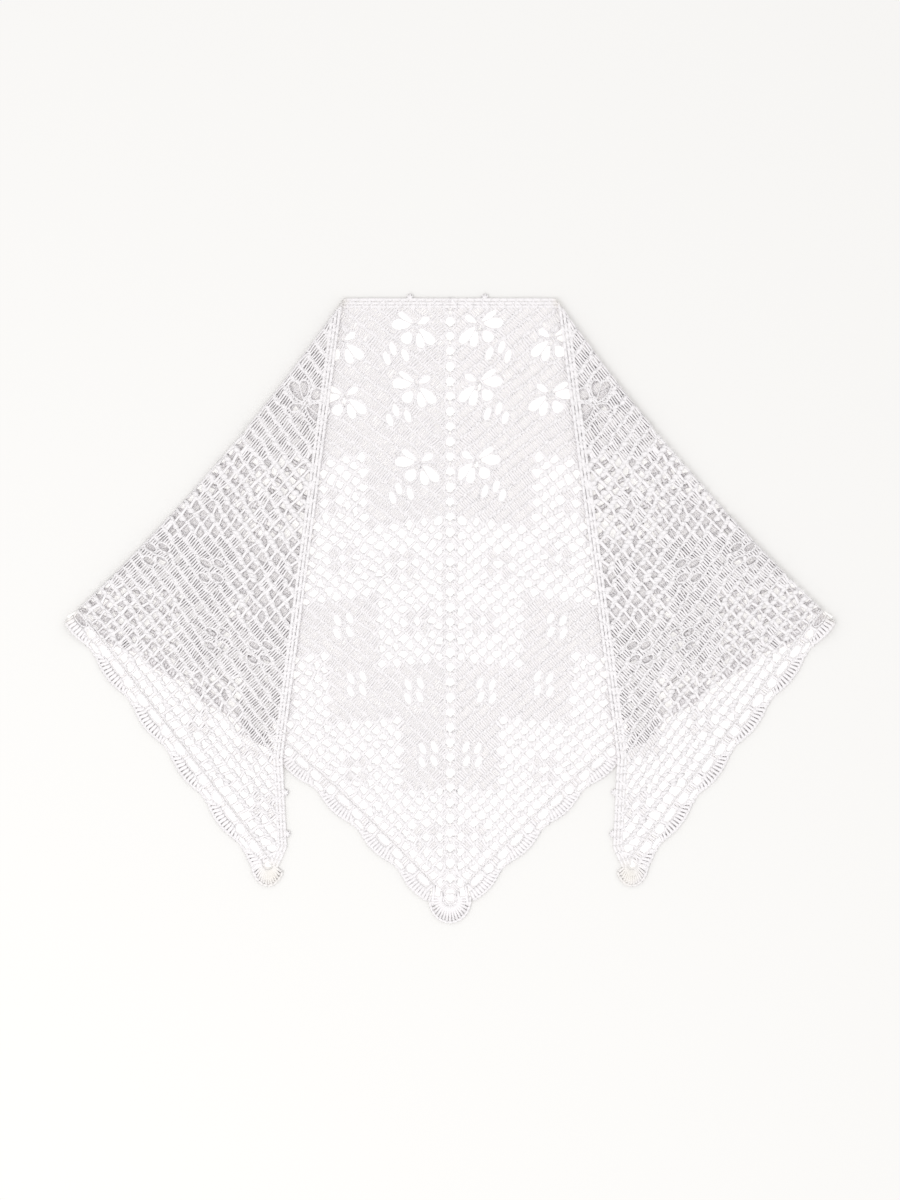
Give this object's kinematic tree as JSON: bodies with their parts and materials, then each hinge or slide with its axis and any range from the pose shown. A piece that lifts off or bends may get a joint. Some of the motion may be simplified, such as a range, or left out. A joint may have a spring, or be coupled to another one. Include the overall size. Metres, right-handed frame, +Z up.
{
  "type": "kerchief",
  "caption": "Triangular crocheted cotton lace kerchief, laid flat with both side corners folded over to the front; eyelet spine and scalloped edging.",
  "frame": {"origin": "middle of the bounding box in plan, on the surface the cloth lies on", "axes": "+Z up off the surface, +Y from the point to the long side, +X to the right as seen from above"},
  "size_m": [0.5842, 0.4676, 0.0056],
  "materials": {
    "cotton": "matt crocheted cotton"
  },
  "bodies": {
    "root": {"spine": "cotton", "back_left": "cotton", "back_right": "cotton", "band_top": "cotton", "edging_back_left": "cotton", "edging_back_right": "cotton", "point_shell": "cotton", "wing_left": "cotton", "wing_right": "cotton", "band_wing_left": "cotton", "band_wing_right": "cotton", "edging_wing_left": "cotton", "edging_wing_right": "cotton"}
  },
  "joints": []
}
